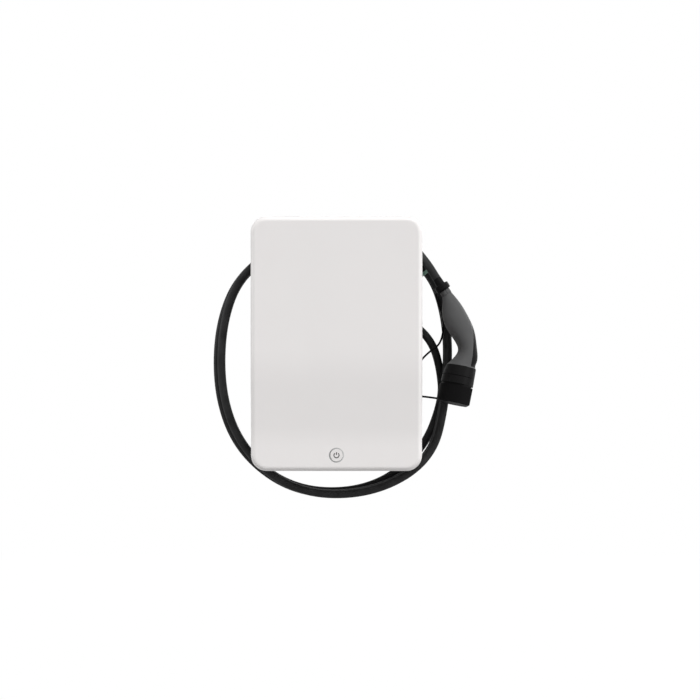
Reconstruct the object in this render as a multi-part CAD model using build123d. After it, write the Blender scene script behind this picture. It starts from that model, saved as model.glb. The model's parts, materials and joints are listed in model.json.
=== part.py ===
from build123d import *
import math
import os

# Wall-mounted charging station for electric cars, with its charging cable
# hung in loops behind the cover. Millimetres. X runs to the right as seen
# from the front, Z up, and the front faces -Y. The wall is the plane Y = 0,
# and the origin is the middle of the four wall bolts.

# Cover: outline, depths and the stepped front
cover_width = 276.0
cover_height = 410.0
cover_corner_radius = 25.5
cover_wall = 3.0
cover_edge_radius = 8.0
front_y = -130.0
front_slope_deg = 5.0

# The step in the front, as heights above the cover's lower edge
bend_top_up = 192.0
slope_top_up = 144.0
slope_bottom_up = 67.0
bend_bottom_up = 43.0

# Rear housing: flange under the cover, and the neck that carries the loops
flange_back_y = -68.0
flange_thickness = 4.0
flange_clearance = 0.4
channel_width = 48.0
neck_bottom_inset = 40.0
neck_top_inset = 31.3
neck_top_radius = 172.0
neck_foot_radius = 30.0
neck_shoulder_radius = 25.0
neck_wall = 3.0
neck_back_y = -1.0
recess_depth = 11.0
back_wall = 3.0

# Seal between the flange and the ledge inside the cover
seal_inset = 2.4
seal_width = 2.2
seal_depth = 1.5
seal_proud = 0.4
ledge_width = 4.5
ledge_depth = 6.0

# Screws that hold the cover from behind
cover_screw_side_inset = 16.0
cover_screw_end_inset = 27.0
cover_screw_middle_z = 2.0
cover_screw_radius = 1.95
cover_screw_head_radius = 3.6
cover_screw_head_height = 2.4
cover_screw_length = 22.0
cover_boss_radius = 5.0
thread_clearance = 0.06
pass_clearance = 0.3

# Wall bracket, its bolt holes and the hook that the housing hangs on
bolt_side_edge = 12.0
bolt_top_edge = 23.0
bolt_hole_radius = 3.25
bracket_thickness = 2.0
bracket_side_inset = 18.0
bracket_bottom_inset = 15.0
bracket_top_inset = 35.7
bracket_corner_radius = 8.0
cleat_reach = 7.0
cleat_height = 14.0
cleat_end_inset = 22.0
hook_thickness = 3.0
hook_lip = 2.2
hook_gap = 0.8
lock_tab_half_width = 12.0
lock_tab_reach = 11.0
lock_screw_radius = 2.5
lock_screw_head_radius = 5.0
lock_screw_head_height = 3.5
lock_screw_length = 24.0

# Supply inlet through the back wall
inlet_up = 50.0
inlet_bore_radius = 10.0
inlet_hole_radius = 16.0
inlet_lip = 4.0
inlet_lip_thickness = 2.0
inlet_window_radius = 22.0

# Power button, its light ring and the switch behind it
button_up = 26.0
ring_outer_radius = 12.0
ring_width = 1.5
ring_depth = 8.0
ring_flange = 2.0
ring_flange_thickness = 1.5
button_clearance = 0.25
button_travel = 1.0
button_flange_thickness = 1.5
button_lip = 1.0
button_edge = 0.4
button_stem_radius = 3.0
button_stem_length = 6.0
switch_size = 7.0
switch_height = 4.0
plunger_radius = 1.7
plunger_spare = 0.4
plunger_hidden = 1.5
switch_floor = 0.5

# Control board behind the button
control_board_width = 96.0
control_board_height = 44.0
control_board_above_button = 5.0
board_thickness = 1.6
control_board_inset = 5.0
board_screw_radius = 1.45
board_screw_head_radius = 2.8
board_screw_head_height = 2.0
board_screw_length = 10.0
board_boss_radius = 3.6

# Main board on posts from the back wall
main_board_left_inset = 12.0
main_board_right_inset = 42.0
main_board_bottom_inset = 70.0
main_board_top_inset = 41.7
main_board_back_y = -38.0
main_board_inset = 8.0

# Components of the main board, in rows from its top: width, height and how far they stand out
sensor_size = (34.0, 34.0, 18.0)
sensor_corner = 5.0
sensor_hole_radius = 9.0
relay_size = (30.0, 28.0, 26.0)
relay_gap = 4.0
supply_module_size = (46.0, 40.0, 24.0)
component_edge = 15.0
terminal_ways = 5
supply_terminal_size = (12.0, 22.0, 24.0)
cable_terminal_size = (10.0, 18.0, 20.0)
terminal_well_depth = 8.0
terminal_well_share = 0.28
terminal_mouth_share = 0.6
terminal_mouth_height = 7.0
terminal_mouth_depth = 7.0
terminal_mouth_lift = 4.5

# Cable gland on the right side of the neck, turned down to the side
gland_crossing_z = 56.7
gland_y = -34.0
gland_down_deg = 30.0
gland_boss_radius = 20.0
gland_boss_out = 10.0
gland_boss_in = 15.0
gland_thread_radius = 12.5
gland_flat = 30.0
gland_hex_height = 6.0
gland_neck_radius = 12.0
gland_neck_height = 9.0
gland_nut_height = 22.0
gland_nut_hex_share = 0.55
gland_nut_lip = 5.0
gland_nut_mouth_wall = 3.2
gland_nut_gap = 0.3
gland_thread_past_nut = 2.0
gland_seal_back_step = 0.5
gland_seal_wall = 2.5
gland_seal_gap = 0.1
locknut_flat = 30.0
locknut_height = 5.0
seal_clearance = 0.05

# Charging cable and the loops that hang over the neck
cable_diameter = 13.5
loop_corners = [
    (60, 186), (155, 130), (187, 32), (188, -97), (157, -193), (60, -252),
    (-65, -250), (-158, -188), (-195, -92), (-195, 27), (-160, 121), (-62, 186),
]
coil_half_width = 12.0
coil_back_y = -8.2
coil_front_y = -55.4
coil_edge = 4.0
tie_place = (150.5, 121.0)
tie_width = 4.8
tie_thickness = 1.0
tie_corner = 1.5
tie_clearance = 0.15
gland_lead_start = 7.0
gland_lead_straight = 47.35
connector_lead_straight = 27.0
connector_lead_end = 6.0

# Vehicle connector: where it hangs and how it leans
connector_origin = Vector(203.6, -84.0, -37.5)
connector_tilt_deg = 12.0
connector_lean_deg = 6.0
connector_wall = 2.6
tail_u = -46.3
tail_w = 112.0
tail_turn_deg = 46.0
tail_nut_length = 8.0
tail_nut_radius = 8.9
tail_nut_edge = 0.8
flute_count = 8
flute_radius = 1.3
flute_out = 0.6
tail_across = 17.5
tail_socket = 8.0
collar_radius = 9.5
collar_length = 10.0
collar_gap = 0.5
collar_lug = 2.5
collar_lug_root = 1.0
collar_lug_deg = 45.0
cable_clearance = 0.1

# Nose of the connector: a circle with a flat on the side of the two signal contacts
nose_centre_u = 0.9
nose_radius = 26.5
nose_flat = 20.3
nose_wall = 2.2
nose_end_w = -58.5
flange_end_w = -29.6
groove_top_w = -16.4
groove_width = 1.2
groove_depth = 0.8
carrier_clearance = 0.15
carrier_back_w = -18.0
carrier_end_w = -57.5
contact_back_w = -24.0
contact_end_w = -56.5
power_contact_radius = 4.2
power_bore_radius = 3.05
power_bore_depth = 22.0
signal_contact_radius = 2.6
signal_bore_radius = 1.55
contact_clearance = 0.08
power_contact_places = [(-13.0, -8.5), (-13.0, 8.5), (0.0, -16.5), (0.0, 0.0), (0.0, 16.5)]
signal_contact_places = [(11.5, -7.0), (11.5, 7.0)]

# Dust cap over the nose, and its tether
cap_wall = 2.6
cap_clearance = 0.3
cap_mouth_w = -33.0
cap_end_w = -61.5
cap_edge = 1.2
cap_lug_angle_deg = 35.0
cap_lug_w = -57.0
cap_lug_radius = 2.6
cap_lug_reach = 2.1
tether_diameter = 2.8
tether_start_straight = 6.5
tether_end_straight = 16.0

# Worked out from the sizes above
cover_bottom_z = -cover_height / 2
bend_top_z = cover_bottom_z + bend_top_up
slope_top_z = cover_bottom_z + slope_top_up
slope_bottom_z = cover_bottom_z + slope_bottom_up
bend_bottom_z = cover_bottom_z + bend_bottom_up
neck_half_width = cover_width / 2 - channel_width
neck_bottom_z = cover_bottom_z + neck_bottom_inset
neck_top_z = cover_height / 2 - neck_top_inset
bracket_half_width = neck_half_width - bracket_side_inset
bracket_bottom_z = neck_bottom_z + bracket_bottom_inset
bracket_top_z = neck_top_z - bracket_top_inset
bolt_x = bracket_half_width - bolt_side_edge
bolt_z = bracket_top_z - bolt_top_edge
cleat_half_width = bracket_half_width - cleat_end_inset
inlet_z = neck_bottom_z + inlet_up
button_z = cover_bottom_z + button_up
control_board_z = button_z + control_board_above_button
main_board_left = -neck_half_width + main_board_left_inset
main_board_right = neck_half_width - main_board_right_inset
main_board_bottom = neck_bottom_z + main_board_bottom_inset
main_board_top = neck_top_z - main_board_top_inset
main_board_front_y = main_board_back_y - board_thickness
flange_front_y = flange_back_y - flange_thickness
recess_front_y = neck_back_y - recess_depth
cavity_back_y = recess_front_y - back_wall
slope = math.radians(front_slope_deg)
bend_top_set = (bend_top_z - slope_top_z) * (1 - math.cos(slope)) / math.sin(slope)
bend_bottom_set = (slope_bottom_z - bend_bottom_z) * (1 - math.cos(slope)) / math.sin(slope)
straight_set = (slope_top_z - slope_bottom_z) * math.tan(slope)
lower_front_y = front_y + bend_top_set + straight_set + bend_bottom_set
lower_inner_y = lower_front_y + cover_wall
ring_back_y = lower_front_y + ring_depth
button_radius = ring_outer_radius - ring_width - button_clearance
button_flange_front_y = ring_back_y + button_clearance
stem_end_y = button_flange_front_y + button_flange_thickness + button_stem_length
plunger_proud = button_travel + plunger_spare
control_board_front_y = stem_end_y + plunger_proud + switch_height
gland_axis = Vector(math.cos(math.radians(gland_down_deg)), 0, -math.sin(math.radians(gland_down_deg)))
gland_crossing = Vector(neck_half_width, gland_y, gland_crossing_z)
cable_radius = cable_diameter / 2
cleat_top_z = bracket_top_z - bracket_thickness + cleat_height

tilt = math.radians(connector_tilt_deg)
lean = math.radians(connector_lean_deg)
connector_u = Vector(math.cos(tilt), 0, -math.sin(tilt))
connector_w = Vector(math.sin(tilt) * math.cos(lean), math.sin(lean), math.cos(tilt) * math.cos(lean))
connector_place = Plane(origin=connector_origin, x_dir=connector_u, z_dir=connector_w).location
tail_turn = math.radians(tail_turn_deg)
tail_direction = Vector(math.cos(tail_turn), 0, -math.sin(tail_turn))
tail_point = Vector(tail_u, 0, tail_w)


def slab(face, back_y, front_y_):
    """A face drawn in X and Z, made solid between two depths."""
    return extrude(Plane.XZ.offset(-back_y) * face, back_y - front_y_)


def peg(radius, x, z, back_y, front_y_):
    """A round peg along Y."""
    return slab(Pos(x, z) * Circle(radius), back_y, front_y_)


def along(origin, direction, face, start, end):
    """A face made solid along a direction, between two distances from the origin."""
    plane = Plane(origin=origin + direction * start, z_dir=direction)
    return extrude(plane * face, end - start)


def disc_solid(origin, direction, radius, start, end):
    return along(origin, direction, Circle(radius), start, end)


def arc_radii(points, closed=False):
    """Each corner's radius: 0.45 of its shorter run, over the tangent of half its turn."""
    if closed:
        points = [points[-1], *points, points[0]]
    radii = []
    for before, corner, after in zip(points, points[1:], points[2:]):
        run_in, run_out = corner - before, after - corner
        half_turn = math.radians(run_in.get_angle(run_out)) / 2
        radii.append(0.45 * min(run_in.length, run_out.length) / math.tan(half_turn))
    return radii


def tube(name, points, diameter):
    """A cord's solid along straight runs joined by tangent arcs."""
    radii = arc_radii(points)
    path = FilletPolyline(*points, radius=radii)
    section = Plane(origin=path @ 0, z_dir=path % 0) * Circle(diameter / 2)
    solid = sweep(section, path=path)
    expected = math.pi * diameter**2 / 4 * path.length
    print(f"{name}: length {path.length:.1f}, volume {solid.volume / expected:.4f} of section x length,",
          "radii", [round(r) for r in radii])
    return solid


# Cover

def cover_outline(inset=0.0):
    return RectangleRounded(cover_width - 2 * inset, cover_height - 2 * inset, cover_corner_radius - inset)


def front_block(inset):
    """The cover's outline between the flange's back and the stepped front, moved in by the inset."""
    top_y = front_y + inset
    high, low = cover_height, -cover_height
    bend_end = (top_y + bend_top_set, slope_top_z)
    slope_end = (top_y + bend_top_set + straight_set, slope_bottom_z)
    lower_y = lower_front_y + inset
    side = make_face(
        Polyline((lower_y, bend_bottom_z), (lower_y, low), (flange_back_y, low),
                 (flange_back_y, high), (top_y, high), (top_y, bend_top_z))
        + TangentArc((top_y, bend_top_z), bend_end, tangent=(0, -1))
        + Line(bend_end, slope_end)
        + TangentArc(slope_end, (lower_y, bend_bottom_z), tangent=(math.sin(slope), -math.cos(slope)))
    )
    across = extrude(Plane.YZ.offset(-cover_width) * side, 2 * cover_width)
    return across & slab(cover_outline(inset), flange_back_y, front_y)


def round_front(block, radius):
    """Rounds the edge all round the front of a block."""
    def on_rim(edge):
        middle = edge @ 0.5
        beyond = abs(middle.X) > cover_width / 2 - cover_corner_radius
        return middle.Y < lower_front_y + 10 and (beyond or abs(middle.Z) > cover_height / 2 - 10)
    return fillet([e for e in block.edges() if on_rim(e) and abs((e % 0.5).Y) < 0.5], radius)


def cover_screw_places():
    x, z = cover_width / 2 - cover_screw_side_inset, cover_height / 2 - cover_screw_end_inset
    return [(side * x, level) for side in (-1, 1) for level in (-z, cover_screw_middle_z, z)]


def front_cover():
    cover = round_front(front_block(0), cover_edge_radius)
    cover -= round_front(front_block(cover_wall), cover_edge_radius - cover_wall)
    ledge = cover_outline(cover_wall / 2) - cover_outline(cover_wall + ledge_width)
    cover += slab(ledge, flange_front_y - seal_proud, flange_front_y - ledge_depth)
    for x, z in cover_screw_places():
        boss_front = (front_y if z > bend_top_z else lower_front_y) + cover_wall / 2
        cover += peg(cover_boss_radius, x, z, flange_front_y - seal_proud, boss_front)
        hole_end = flange_back_y - cover_screw_length - 2
        cover -= peg(cover_screw_radius + thread_clearance, x, z, flange_front_y, hole_end)
    for x, z in control_screw_places():
        cover += peg(board_boss_radius, x, z, control_board_front_y, lower_front_y + cover_wall / 2)
        hole_end = control_board_front_y - board_screw_length
        cover -= peg(board_screw_radius + thread_clearance, x, z, control_board_front_y, hole_end)
    return cover - peg(ring_outer_radius + thread_clearance, 0, button_z, lower_inner_y, front_y)


def cover_screws():
    screws = Part()
    for x, z in cover_screw_places():
        head_front = flange_back_y - cover_screw_head_height
        screws += peg(cover_screw_head_radius, x, z, flange_back_y, head_front)
        screws += peg(cover_screw_radius, x, z, head_front, flange_back_y - cover_screw_length)
    return screws


# Rear housing

def neck_outline(inset=0.0):
    """The neck seen from the front: straight sides, and a wide arch that the loops rest on."""
    half = neck_half_width - inset
    low = neck_bottom_z + inset
    apex = neck_top_z - inset
    arch = neck_top_radius - inset
    shoulder = apex - arch + math.sqrt(arch**2 - half**2)
    outline = make_face(
        Polyline((-half, shoulder), (-half, low), (half, low), (half, shoulder))
        + ThreePointArc((half, shoulder), (0, apex), (-half, shoulder))
    )
    outline = fillet(outline.vertices().sort_by(Axis.Y)[:2], neck_foot_radius - inset)
    return fillet(outline.vertices().sort_by(Axis.Y)[-2:], neck_shoulder_radius - inset)


def main_screw_places():
    left, right = main_board_left + main_board_inset, main_board_right - main_board_inset
    low, high = main_board_bottom + main_board_inset, main_board_top - main_board_inset
    return [(x, z) for x in (left, right) for z in (low, high)]


def housing_flange():
    """The flange that closes the cover from behind, open over the neck, with the seal's groove."""
    plate = cover_outline(cover_wall + flange_clearance) - neck_outline(neck_wall)
    flange = slab(plate, flange_back_y, flange_front_y)
    groove = cover_outline(cover_wall + flange_clearance + seal_inset)
    groove -= cover_outline(cover_wall + flange_clearance + seal_inset + seal_width)
    flange -= slab(groove, flange_front_y + seal_depth, flange_front_y)
    for x, z in cover_screw_places():
        flange -= peg(cover_screw_radius + pass_clearance, x, z, flange_back_y, flange_front_y)
        flange -= peg(cover_screw_head_radius + pass_clearance, x, z,
                      flange_back_y, flange_back_y - cover_screw_head_height)
    return flange


def rear_housing():
    """The neck: the closed back that hangs on the bracket and carries the loops, the boards and the gland."""
    gland_boss = disc_solid(gland_crossing, gland_axis, gland_boss_radius, -gland_boss_in, gland_boss_out)
    housing = slab(neck_outline(), neck_back_y, flange_back_y) + gland_boss
    housing -= slab(neck_outline(neck_wall), cavity_back_y, flange_back_y) - gland_boss
    housing -= slab(neck_outline(neck_wall), neck_back_y, recess_front_y)
    housing -= disc_solid(gland_crossing, gland_axis, gland_thread_radius + pass_clearance / 2,
                          -gland_boss_in, gland_boss_out)
    for x, z in main_screw_places():
        housing += peg(board_boss_radius, x, z, recess_front_y, main_board_back_y)
        hole_end = main_board_front_y + board_screw_length
        housing -= peg(board_screw_radius + thread_clearance, x, z, hole_end, main_board_back_y)
    housing -= peg(inlet_hole_radius, 0, inlet_z, recess_front_y, cavity_back_y)
    hook_back_y = neck_back_y - hook_gap
    hook_top_z = cleat_top_z + hook_thickness
    hook = Pos(0, (cleat_top_z + hook_top_z) / 2) * Rectangle(2 * cleat_half_width, hook_thickness)
    housing += slab(hook, hook_back_y, recess_front_y)
    lip_bottom_z = bracket_top_z + hook_gap
    lip = Pos(0, (lip_bottom_z + hook_top_z) / 2) * Rectangle(2 * cleat_half_width, hook_top_z - lip_bottom_z)
    housing += slab(lip, hook_back_y, hook_back_y - hook_lip)
    screw_hole = Cylinder(lock_screw_radius + pass_clearance, 4 * neck_wall)
    return housing - Pos(0, lock_screw_y(), neck_bottom_z) * screw_hole


def housing_seal():
    outer = cover_outline(cover_wall + flange_clearance + seal_inset)
    inner = cover_outline(cover_wall + flange_clearance + seal_inset + seal_width)
    return slab(outer - inner, flange_front_y + seal_depth, flange_front_y - seal_proud)


# Wall bracket

def lock_screw_y():
    return -(lock_tab_reach + bracket_thickness) / 2


def wall_bracket():
    middle_z = (bracket_top_z + bracket_bottom_z) / 2
    plate = Pos(0, middle_z) * RectangleRounded(
        2 * bracket_half_width, bracket_top_z - bracket_bottom_z, bracket_corner_radius)
    bracket = slab(plate, 0, -bracket_thickness)
    foot = Pos(0, bracket_top_z - bracket_thickness / 2) * Rectangle(2 * cleat_half_width, bracket_thickness)
    bracket += slab(foot, 0, -cleat_reach)
    lip_middle_z = cleat_top_z - cleat_height / 2
    lip = Pos(0, lip_middle_z) * Rectangle(2 * cleat_half_width, cleat_height)
    bracket += slab(lip, -cleat_reach + bracket_thickness, -cleat_reach)
    tab = Pos(0, bracket_bottom_z + bracket_thickness / 2) * Rectangle(2 * lock_tab_half_width, bracket_thickness)
    bracket += slab(tab, 0, -lock_tab_reach)
    bracket -= Pos(0, lock_screw_y(), bracket_bottom_z) * Cylinder(
        lock_screw_radius + thread_clearance, 4 * bracket_thickness)
    for x in (-bolt_x, bolt_x):
        for z in (-bolt_z, bolt_z):
            bracket -= peg(bolt_hole_radius, x, z, 0, -bracket_thickness)
    return bracket - peg(inlet_window_radius, 0, inlet_z, 0, -bracket_thickness)


def locking_screw():
    seat = Vector(0, lock_screw_y(), neck_bottom_z)
    down = Vector(0, 0, -1)
    screw = disc_solid(seat, down, lock_screw_head_radius, 0, lock_screw_head_height)
    return screw + disc_solid(seat, down, lock_screw_radius, -lock_screw_length, 0)


def supply_grommet():
    half_wall = back_wall / 2
    middle_y = recess_front_y - half_wall
    out = half_wall + inlet_lip_thickness
    body = peg(inlet_hole_radius, 0, inlet_z, middle_y + out, middle_y - out)
    for side in (1, -1):
        face_y, end_y = middle_y + side * half_wall, middle_y + side * out
        body += peg(inlet_hole_radius + inlet_lip, 0, inlet_z, max(face_y, end_y), min(face_y, end_y))
    return body - peg(inlet_bore_radius, 0, inlet_z, middle_y + out, middle_y - out)


# Button, light ring and switch

def light_ring():
    inner = ring_outer_radius - ring_width
    ring = peg(ring_outer_radius, 0, button_z, ring_back_y, lower_front_y)
    ring += peg(ring_outer_radius + ring_flange, 0, button_z,
                lower_inner_y + ring_flange_thickness, lower_inner_y)
    return ring - peg(inner, 0, button_z, ring_back_y, lower_front_y)


def power_button():
    flange_back = button_flange_front_y + button_flange_thickness
    button = peg(button_radius, 0, button_z, flange_back, lower_front_y)
    button = chamfer(button.edges().sort_by(Axis.Y)[0], button_edge)
    button += peg(button_radius + button_lip, 0, button_z, flange_back, button_flange_front_y)
    return button + peg(button_stem_radius, 0, button_z, stem_end_y, flange_back)


def switch_plunger():
    return peg(plunger_radius, 0, button_z, stem_end_y + plunger_proud + plunger_hidden, stem_end_y)


def switch_body():
    square = Pos(0, button_z) * Rectangle(switch_size, switch_size)
    body = slab(square, control_board_front_y, stem_end_y + plunger_proud)
    hole_back = control_board_front_y - switch_floor
    return body - peg(plunger_radius + button_clearance, 0, button_z, hole_back, stem_end_y + plunger_proud)


def control_screw_places():
    x = control_board_width / 2 - control_board_inset
    dz = control_board_height / 2 - control_board_inset
    return [(sx * x, control_board_z + sz * dz) for sx in (-1, 1) for sz in (-1, 1)]


def control_board():
    board = Pos(0, control_board_z) * Rectangle(control_board_width, control_board_height)
    for x, z in control_screw_places():
        board -= Pos(x, z) * Circle(board_screw_radius + pass_clearance / 2)
    return slab(board, control_board_front_y + board_thickness, control_board_front_y)


def board_screws(places, head_side_y, toward):
    """Screws through a board, with their heads on one side and their threads the other way along Y."""
    screws = Part()
    for x, z in places:
        seat, way = Vector(x, head_side_y, z), Vector(0, toward, 0)
        screws += disc_solid(seat, way, board_screw_radius, 0, board_screw_length)
        screws += disc_solid(seat, way, board_screw_head_radius, -board_screw_head_height, 0)
    return screws


# Main board and what it carries

def main_board():
    width, height = main_board_right - main_board_left, main_board_top - main_board_bottom
    middle = Pos((main_board_left + main_board_right) / 2, (main_board_bottom + main_board_top) / 2)
    board = middle * Rectangle(width, height)
    for x, z in main_screw_places():
        board -= Pos(x, z) * Circle(board_screw_radius + pass_clearance / 2)
    return slab(board, main_board_back_y, main_board_front_y)


def row_z(row):
    """The middle height of a row of components, with the rows spread evenly over the board."""
    heights = [sensor_size[1], relay_size[1], cable_terminal_size[1], supply_module_size[1], supply_terminal_size[1]]
    gap = (main_board_top - main_board_bottom - sum(heights)) / (len(heights) + 1)
    return main_board_top - gap * (row + 1) - sum(heights[:row]) - heights[row] / 2


def on_board(x, z, width, height, tall):
    """A rectangular component standing on the front of the main board."""
    return slab(Pos(x, z) * Rectangle(width, height), main_board_front_y, main_board_front_y - tall)


def residual_current_sensor():
    width, height, tall = sensor_size
    x = (main_board_left + main_board_right) / 2
    ring = Pos(x, row_z(0)) * (RectangleRounded(width, height, sensor_corner) - Circle(sensor_hole_radius))
    return slab(ring, main_board_front_y, main_board_front_y - tall)


def power_relays():
    width, height, tall = relay_size
    first_x = main_board_left + component_edge + width / 2
    return Part() + [on_board(x, row_z(1), width, height, tall) for x in (first_x, first_x + width + relay_gap)]


def power_supply_module():
    width, height, tall = supply_module_size
    return on_board(main_board_left + component_edge + width / 2, row_z(3), width, height, tall)


def terminal_block(x, z, size):
    """A row of terminals: one body with a screw well and a wire mouth for each way."""
    pitch, deep, tall = size
    front = main_board_front_y - tall
    block = on_board(x, z, terminal_ways * pitch, deep, tall)
    for way in range(terminal_ways):
        way_x = x + (way - (terminal_ways - 1) / 2) * pitch
        block -= peg(pitch * terminal_well_share, way_x, z, front + terminal_well_depth, front)
        mouth = Pos(way_x, z - (deep - terminal_mouth_depth) / 2) * Rectangle(
            pitch * terminal_mouth_share, terminal_mouth_depth)
        low_y = main_board_front_y - terminal_mouth_lift
        block -= slab(mouth, low_y, low_y - terminal_mouth_height)
    return block


def cable_terminals():
    width = terminal_ways * cable_terminal_size[0]
    return terminal_block(main_board_right - component_edge - width / 2, row_z(2), cable_terminal_size)


def supply_terminals():
    return terminal_block((main_board_left + main_board_right) / 2, row_z(4), supply_terminal_size)


# Gland

def hexagon(flat):
    return RegularPolygon(flat / 2, 6, major_radius=False)


def gland_cone(start, end, start_radius, end_radius):
    """A cone on the gland's axis, between two distances from the crossing."""
    return Plane(origin=gland_crossing + gland_axis * start, z_dir=gland_axis) * Pos(
        0, 0, (end - start) / 2) * Cone(start_radius, end_radius, end - start)


def gland_spans():
    """Where the seal and the nut start and end, along the gland's axis."""
    hex_top = gland_boss_out + gland_hex_height
    nut_start = hex_top + gland_nut_gap
    nut_end = nut_start + gland_nut_height
    return hex_top + gland_neck_height, nut_end - gland_nut_lip, nut_start, nut_end


def gland_body():
    hex_top = gland_boss_out + gland_hex_height
    inner_end = -gland_boss_in - locknut_height - gland_thread_past_nut
    body = disc_solid(gland_crossing, gland_axis, gland_thread_radius, inner_end, gland_boss_out)
    body += along(gland_crossing, gland_axis, hexagon(gland_flat), gland_boss_out, hex_top)
    body += disc_solid(gland_crossing, gland_axis, gland_neck_radius, hex_top, hex_top + gland_neck_height)
    return body - disc_solid(gland_crossing, gland_axis, cable_radius + 2 * pass_clearance,
                             inner_end, hex_top + gland_neck_height)


def gland_locknut():
    nut = along(gland_crossing, gland_axis, hexagon(locknut_flat), -gland_boss_in - locknut_height, -gland_boss_in)
    return nut - disc_solid(gland_crossing, gland_axis, gland_thread_radius + thread_clearance,
                            -gland_boss_in - locknut_height, -gland_boss_in)


def gland_seal():
    start, end, _, _ = gland_spans()
    cone = gland_cone(start, end, gland_neck_radius - gland_seal_back_step, cable_radius + gland_seal_wall)
    return cone - disc_solid(gland_crossing, gland_axis, cable_radius + seal_clearance, start, end)


def gland_nut():
    seal_start, seal_end, nut_start, nut_end = gland_spans()
    hex_end = nut_start + gland_nut_height * gland_nut_hex_share
    nut = along(gland_crossing, gland_axis, hexagon(gland_flat), nut_start, hex_end)
    nut += gland_cone(hex_end, nut_end, gland_flat / 2 - gland_seal_back_step, cable_radius + gland_nut_mouth_wall)
    nut -= disc_solid(gland_crossing, gland_axis, gland_neck_radius + thread_clearance, nut_start, seal_start)
    nut -= gland_cone(seal_start, seal_end, gland_neck_radius - gland_seal_back_step + gland_seal_gap,
                      cable_radius + gland_seal_wall + gland_seal_gap)
    return nut - disc_solid(gland_crossing, gland_axis, cable_radius + pass_clearance, seal_start, nut_end)


# Charging cable

def loop_path():
    corners = [Vector(x, z) for x, z in loop_corners]
    return FilletPolyline(*corners, radius=arc_radii(corners, closed=True), close=True)


def cable_coil():
    """The hung loops as one ring of their outer shape."""
    middle = make_face(loop_path())
    ring = offset(middle, coil_half_width) - offset(middle, -coil_half_width)
    coil = slab(ring, coil_back_y, coil_front_y)
    rims = coil.edges().filter_by(Axis.Y, reverse=True)
    return chamfer(rims, coil_edge)


def cable_tie():
    """A strap round the loops near the top right."""
    path = loop_path()
    steps = [i / 400 for i in range(400)]
    target = Vector(*tie_place)
    at = min(steps, key=lambda t: (path @ t - target).length)
    centre, way = path @ at, path % at
    plane = Plane(origin=(centre.X, (coil_back_y + coil_front_y) / 2, centre.Y),
                  x_dir=(0, -1, 0), z_dir=(way.X, 0, way.Y))
    long = coil_back_y - coil_front_y + 2 * tie_clearance
    wide = 2 * coil_half_width + 2 * tie_clearance
    hole = RectangleRounded(long, wide, tie_corner)
    band = RectangleRounded(long + 2 * tie_thickness, wide + 2 * tie_thickness, tie_corner + tie_thickness)
    return extrude(plane * (band - hole), tie_width / 2, both=True)


def gland_lead_points():
    seal_start = gland_spans()[0]
    return [gland_crossing + gland_axis * (seal_start - gland_lead_start),
            gland_crossing + gland_axis * gland_lead_straight,
            Vector(160, gland_y, 0), Vector(178, gland_y, -45), Vector(181, gland_y, -85)]


def connector_lead_points():
    before_tail = connector_place * Pos(*(tail_point - tail_direction * connector_lead_straight))
    end = connector_place * Pos(*(tail_point + tail_direction * connector_lead_end))
    return [Vector(49, -48.5, 188), Vector(108, -54.5, 181), Vector(146, -62, 134.5),
            before_tail.position, end.position]


# Vehicle connector, drawn along its own axes: u to the side of the flat, w up the handle

tail_side = Vector(math.sin(tail_turn), 0, math.cos(tail_turn)) * (tail_across / 2)
tail_left, tail_right = tail_point - tail_side, tail_point + tail_side
GRIP_SECTIONS = [
    # left u, left w, right u, right w, depth
    (tail_left.X, tail_left.Z, tail_right.X, tail_right.Z, tail_across),
    (-49.5, 88.0, -28.9, 108.8, 25.0),
    (-45.0, 72.5, -12.1, 92.3, 30.0),
    (-36.5, 58.0, 1.5, 75.3, 33.0),
    (-25.0, 46.0, 11.9, 57.5, 34.0),
    (-14.0, 34.5, 18.0, 40.5, 35.0),
    (-10.3, 25.5, 22.2, 27.0, 38.0),
    (-14.5, 13.0, 24.0, 13.4, 44.0),
    (-24.0, 0.0, 24.8, 0.0, 52.0),
]
SPINE_EDGE = [(-6.0, 90.0), (8.4, 55.1), (12.6, 26.0), (13.6, 2.0)]
spine_reach = 40.0
PLUG_SECTIONS = [
    # height, middle u, half widths along u and v
    (0.0, 0.4, 24.4, 26.0),
    (-12.0, -0.6, 25.8, 27.6),
    (flange_end_w, -1.0, 26.6, 29.0),
]


def grip_block():
    """The handle's form, lofted from its sections."""
    faces = []
    for left_u, left_w, right_u, right_w, depth in GRIP_SECTIONS:
        left, right = Vector(left_u, 0, left_w), Vector(right_u, 0, right_w)
        across = right - left
        plane = Plane(origin=(left + right) / 2, x_dir=across, z_dir=Vector(across.Z, 0, -across.X))
        angles = [math.radians(18 + 36 * step) for step in range(10)]
        rim = [(across.length / 2 * math.cos(angle), depth / 2 * math.sin(angle)) for angle in angles]
        faces.append(plane * make_face(Spline(*rim, periodic=True)))
    return loft(faces)


def spine_cutter():
    """The wedge of the grip that the soft spine takes up, along the side of the flat."""
    top, bottom = SPINE_EDGE[0], SPINE_EDGE[-1]
    outside = Polyline(bottom, (spine_reach, bottom[1]), (spine_reach, top[1]), top)
    return extrude(Plane.XZ * make_face(Spline(*SPINE_EDGE) + outside), spine_reach, both=True)


def grip_shell():
    socket = disc_solid(tail_point, tail_direction, cable_radius + cable_clearance, -1, tail_socket)
    return connector_place * (grip_block() - spine_cutter() - socket)


def grip_spine():
    return connector_place * (grip_block() & spine_cutter())


def nose_outline(grow=0.0):
    """The nose's face: a circle cut by the flat."""
    radius = nose_radius + grow
    flat = nose_flat + grow
    cut = Pos(flat + radius, 0) * Rectangle(2 * radius, 4 * radius)
    return Pos(nose_centre_u, 0) * (Circle(radius) - cut)


def between(face, start_w, end_w):
    """A face across the connector's axis, made solid between two heights on it."""
    return extrude(Plane.XY.offset(end_w) * face, start_w - end_w)


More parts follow.
